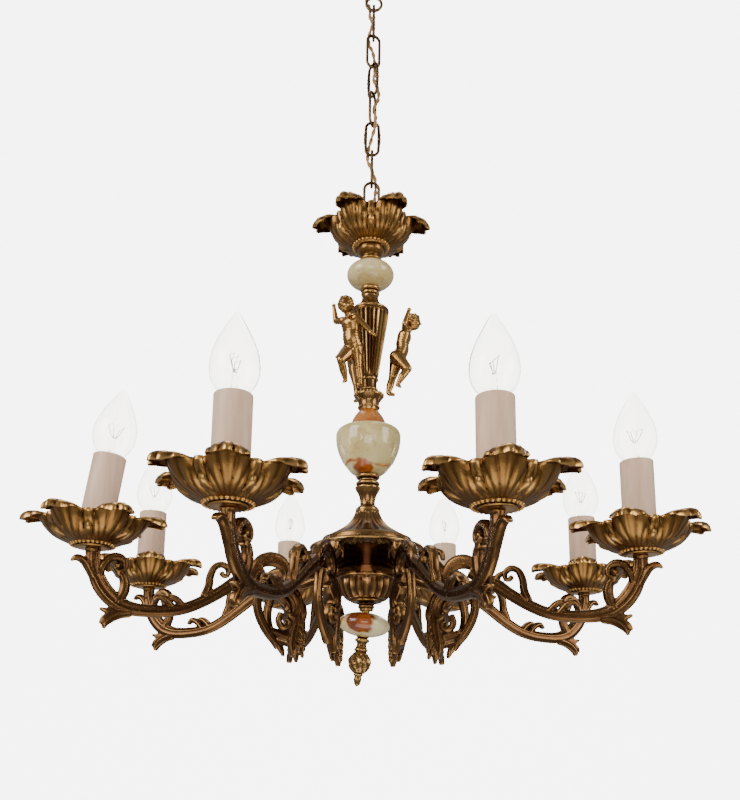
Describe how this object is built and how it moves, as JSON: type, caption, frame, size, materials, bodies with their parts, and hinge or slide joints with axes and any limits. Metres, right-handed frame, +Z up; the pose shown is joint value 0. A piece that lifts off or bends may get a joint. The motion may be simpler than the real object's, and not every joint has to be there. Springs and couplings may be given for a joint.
{
  "type": "multi arm chandelier",
  "caption": "Chain-hung chandelier with scrolled cast brass arms, leafy drip pans, candle bulbs, and a column of brass, onyx and small figures.",
  "frame": {"origin": "middle of the ceiling plate's flat top face, which fastens to the ceiling", "axes": "+Z up along the column, +Y away from the usual viewing side, +X to the right"},
  "size_m": [0.5466, 0.5499, 0.7896],
  "materials": {
    "brass": "cast brass, antiqued dark in the recesses and rubbed bright on the ridges",
    "dark_brass": "brass darkened nearly brown",
    "onyx": "polished banded onyx, cream and green with rust brown veins, slightly translucent",
    "sleeve": "pale pinkish beige candle sleeve",
    "bulb_glass": "clear blown glass",
    "steel": "zinc plated",
    "terminal": "moulded",
    "flex": "golden brown covered flex"
  },
  "bodies": {
    "ceiling_fitting": {"ceiling_plate": "steel", "ceiling_canopy": "brass", "terminal_block": "terminal", "ceiling_hook": "dark_brass", "flex_cable": "flex"},
    "link_6": {"chain_link_6": "dark_brass"},
    "link_5": {"chain_link_5": "dark_brass"},
    "link_4": {"chain_link_4": "dark_brass"},
    "link_3": {"chain_link_3": "dark_brass"},
    "link_2": {"chain_link_2": "dark_brass"},
    "link_1": {"chain_link_1": "dark_brass"},
    "chandelier": {"arm_1": "brass", "arm_2": "brass", "arm_3": "brass", "arm_4": "brass", "arm_5": "brass", "arm_6": "brass", "arm_7": "brass", "arm_8": "brass", "arm_hub": "dark_brass", "ball_collar": "brass", "baluster": "brass", "body_cover": "brass", "candle_sleeve_1": "sleeve", "candle_sleeve_2": "sleeve", "candle_sleeve_3": "sleeve", "candle_sleeve_4": "sleeve", "candle_sleeve_5": "sleeve", "candle_sleeve_6": "sleeve", "candle_sleeve_7": "sleeve", "candle_sleeve_8": "sleeve", "central_rod": "steel", "crown_cup": "brass", "crown_loop": "dark_brass", "drip_pan_1": "brass", "drip_pan_2": "brass", "drip_pan_3": "brass", "drip_pan_4": "brass", "drip_pan_5": "brass", "drip_pan_6": "brass", "drip_pan_7": "brass", "drip_pan_8": "brass", "figure_ring": "brass", "finial": "brass", "fluted_vase": "brass", "hub_bowl": "brass", "onyx_ball": "onyx", "onyx_disc": "onyx", "onyx_urn": "onyx", "putto_1": "brass", "putto_2": "brass", "putto_3": "brass"},
    "bulb_1": {"bulb_1": "bulb_glass"},
    "bulb_2": {"bulb_2": "bulb_glass"},
    "bulb_3": {"bulb_3": "bulb_glass"},
    "bulb_4": {"bulb_4": "bulb_glass"},
    "bulb_5": {"bulb_5": "bulb_glass"},
    "bulb_6": {"bulb_6": "bulb_glass"},
    "bulb_7": {"bulb_7": "bulb_glass"},
    "bulb_8": {"bulb_8": "bulb_glass"}
  },
  "joints": [
    {"name": "swing_at_hook", "type": "hinge", "parent": "ceiling_fitting", "child": "link_6", "pos_m": [0, 0, -0.0826], "axis": [1, 0, 0], "range_deg": [-8, 8], "deforming": ["flex_cable"]},
    {"name": "swing_at_link_6", "type": "hinge", "parent": "link_6", "child": "link_5", "pos_m": [0, 0, -0.1173], "axis": [0, 1, 0], "range_deg": [-8, 8], "deforming": ["flex_cable"]},
    {"name": "swing_at_link_5", "type": "hinge", "parent": "link_5", "child": "link_4", "pos_m": [0, 0, -0.152], "axis": [-0.9659, -0.2588, 0], "range_deg": [-8, 8], "deforming": ["flex_cable"]},
    {"name": "swing_at_link_4", "type": "hinge", "parent": "link_4", "child": "link_3", "pos_m": [0, 0, -0.1867], "axis": [0.6428, -0.766, 0], "range_deg": [-8, 8], "deforming": ["flex_cable"]},
    {"name": "swing_at_link_3", "type": "hinge", "parent": "link_3", "child": "link_2", "pos_m": [0, 0, -0.2214], "axis": [-0.4226, -0.9063, 0], "range_deg": [-8, 8], "deforming": ["flex_cable"]},
    {"name": "swing_at_link_2", "type": "hinge", "parent": "link_2", "child": "link_1", "pos_m": [0, 0, -0.2561], "axis": [1, 0, 0], "range_deg": [-8, 8], "deforming": ["flex_cable"]},
    {"name": "swing_at_crown_loop", "type": "hinge", "parent": "link_1", "child": "chandelier", "pos_m": [0, 0, -0.2908], "axis": [0, 1, 0], "range_deg": [-8, 8], "deforming": ["flex_cable"]},
    {"name": "bulb_1_unscrews", "type": "slide", "parent": "chandelier", "child": "bulb_1", "axis": [0, 0, 1], "range_m": [0, 0.012]},
    {"name": "bulb_2_unscrews", "type": "slide", "parent": "chandelier", "child": "bulb_2", "axis": [0, 0, 1], "range_m": [0, 0.012]},
    {"name": "bulb_3_unscrews", "type": "slide", "parent": "chandelier", "child": "bulb_3", "axis": [0, 0, 1], "range_m": [0, 0.012]},
    {"name": "bulb_4_unscrews", "type": "slide", "parent": "chandelier", "child": "bulb_4", "axis": [0, 0, 1], "range_m": [0, 0.012]},
    {"name": "bulb_5_unscrews", "type": "slide", "parent": "chandelier", "child": "bulb_5", "axis": [0.1126, 0.0466, 0.9925], "range_m": [0, 0.012]},
    {"name": "bulb_6_unscrews", "type": "slide", "parent": "chandelier", "child": "bulb_6", "axis": [0, 0, 1], "range_m": [0, 0.012]},
    {"name": "bulb_7_unscrews", "type": "slide", "parent": "chandelier", "child": "bulb_7", "axis": [0, 0, 1], "range_m": [0, 0.012]},
    {"name": "bulb_8_unscrews", "type": "slide", "parent": "chandelier", "child": "bulb_8", "axis": [0, 0, 1], "range_m": [0, 0.012]}
  ]
}
